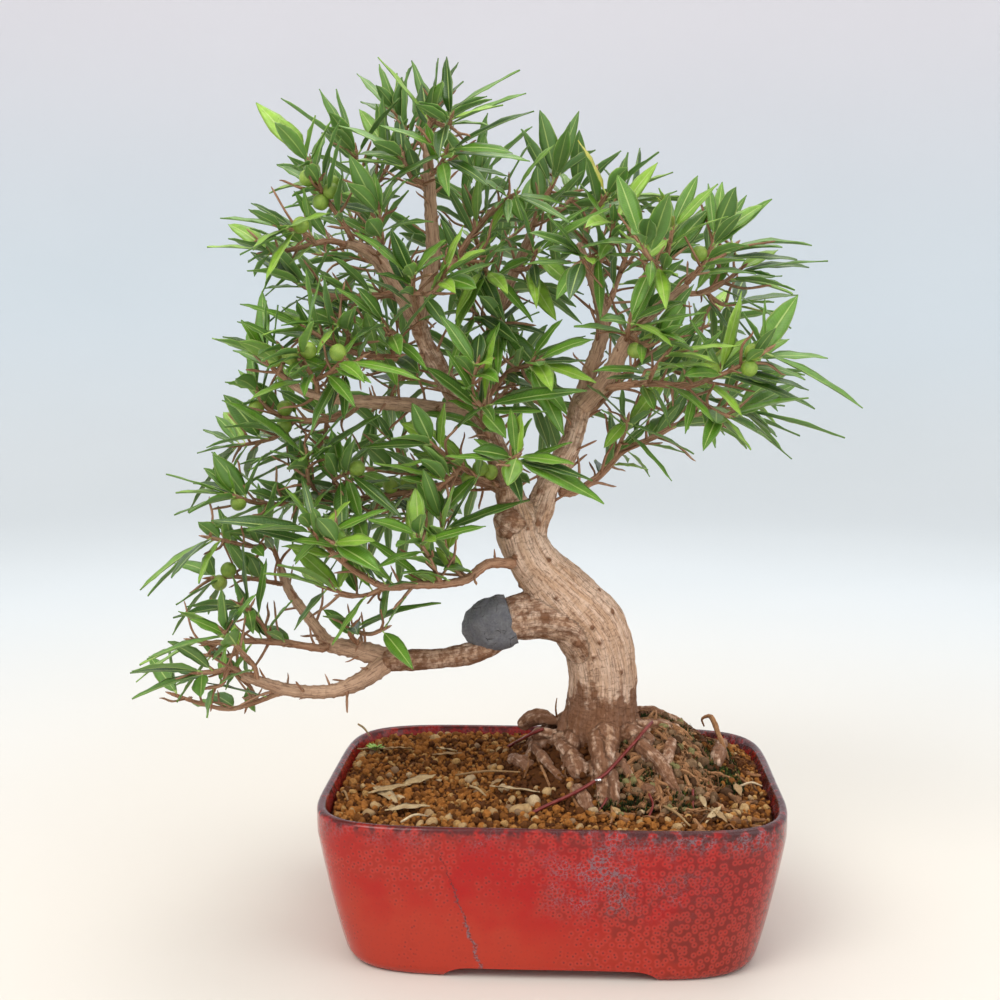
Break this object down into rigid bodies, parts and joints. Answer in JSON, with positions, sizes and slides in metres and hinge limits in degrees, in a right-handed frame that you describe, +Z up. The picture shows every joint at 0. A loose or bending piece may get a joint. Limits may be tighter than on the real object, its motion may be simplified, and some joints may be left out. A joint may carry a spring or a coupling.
{
  "type": "potted bonsai tree",
  "caption": "Willow leaf fig bonsai with a bent bare trunk, a wide leafy crown leaning left and small figs, in a rounded rectangular footed pot.",
  "frame": {"origin": "on the ground under the middle of the whole part's footprint", "axes": "+Z up; the front of the tree, as pictured, faces -Y; +X is to the right of that view"},
  "size_m": [0.3104, 0.1662, 0.3726],
  "materials": {
    "glazed_red": "glossy crackled glaze",
    "soil_mix": "loose granular clay and grit",
    "bark": "fibrous bark",
    "paste_grey": "matt wound paste",
    "wire_coated": "red-brown coated wire",
    "black_plastic": "matt",
    "dry_leaf": "matt, dry",
    "leaf_green": "glossy living leaf"
  },
  "bodies": {
    "root": {"drain_screen_left": "black_plastic", "drain_screen_right": "black_plastic", "fallen_leaf_front": "dry_leaf", "fallen_leaf_left": "dry_leaf", "fallen_leaf_middle": "dry_leaf", "pot": "glazed_red", "soil": "soil_mix", "spray_apex": "leaf_green", "spray_apex_back": "leaf_green", "spray_apex_front": "leaf_green", "spray_apex_left": "leaf_green", "spray_arm_low": "leaf_green", "spray_arm_side": "leaf_green", "spray_arm_tip": "leaf_green", "spray_back_centre": "leaf_green", "spray_back_high": "leaf_green", "spray_back_left": "leaf_green", "spray_back_low_left": "leaf_green", "spray_back_right": "leaf_green", "spray_back_top_left": "leaf_green", "spray_back_top_right": "leaf_green", "spray_centre_front": "leaf_green", "spray_centre_high": "leaf_green", "spray_centre_left": "leaf_green", "spray_centre_up": "leaf_green", "spray_front_left": "leaf_green", "spray_high_arm": "leaf_green", "spray_high_left": "leaf_green", "spray_high_low": "leaf_green", "spray_high_side": "leaf_green", "spray_high_tip": "leaf_green", "spray_knob": "leaf_green", "spray_leader_right": "leaf_green", "spray_left_mid": "leaf_green", "spray_low_front": "leaf_green", "spray_low_tip": "leaf_green", "spray_low_under": "leaf_green", "spray_mat": "leaf_green", "spray_mid_centre": "leaf_green", "spray_mid_front": "leaf_green", "spray_mid_top": "leaf_green", "spray_right_arm": "leaf_green", "spray_right_low": "leaf_green", "spray_right_main_mid": "leaf_green", "spray_right_main_side": "leaf_green", "spray_right_main_tip": "leaf_green", "spray_right_top_side": "leaf_green", "spray_right_top_tip": "leaf_green", "spray_right_up": "leaf_green", "spray_top_left_back": "leaf_green", "spray_top_left_high": "leaf_green", "spray_top_left_mid": "leaf_green", "spray_top_left_tip": "leaf_green", "tie_wire_back": "wire_coated", "tie_wire_front": "wire_coated", "trunk": "bark", "wound_paste": "paste_grey"}
  },
  "joints": []
}
